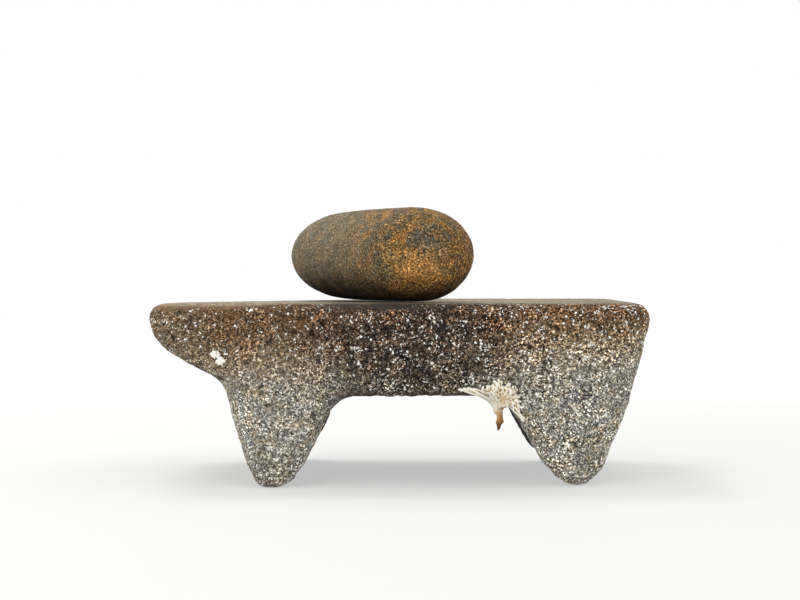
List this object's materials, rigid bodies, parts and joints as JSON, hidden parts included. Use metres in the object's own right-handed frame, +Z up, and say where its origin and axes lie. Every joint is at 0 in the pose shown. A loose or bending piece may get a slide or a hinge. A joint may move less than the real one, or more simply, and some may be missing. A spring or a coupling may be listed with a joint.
{
  "type": "saddle quern with handstone",
  "caption": "Legged saddle quern carved from one stone, with a loaf-shaped handstone resting across its worn top and a dried growth under one edge.",
  "frame": {"origin": "on the floor, under the middle of the whole object's plan", "axes": "+X along the slab, from the overhanging end to the legged end; +Y across it, away from the side that carries the growth; +Z up"},
  "size_m": [0.3578, 0.214, 0.1987],
  "materials": {
    "quern_stone": "matte",
    "hand_stone": "matte",
    "growth": "matte"
  },
  "bodies": {
    "root": {"metate": "quern_stone", "mano": "hand_stone", "dried_growth": "growth"}
  },
  "joints": []
}
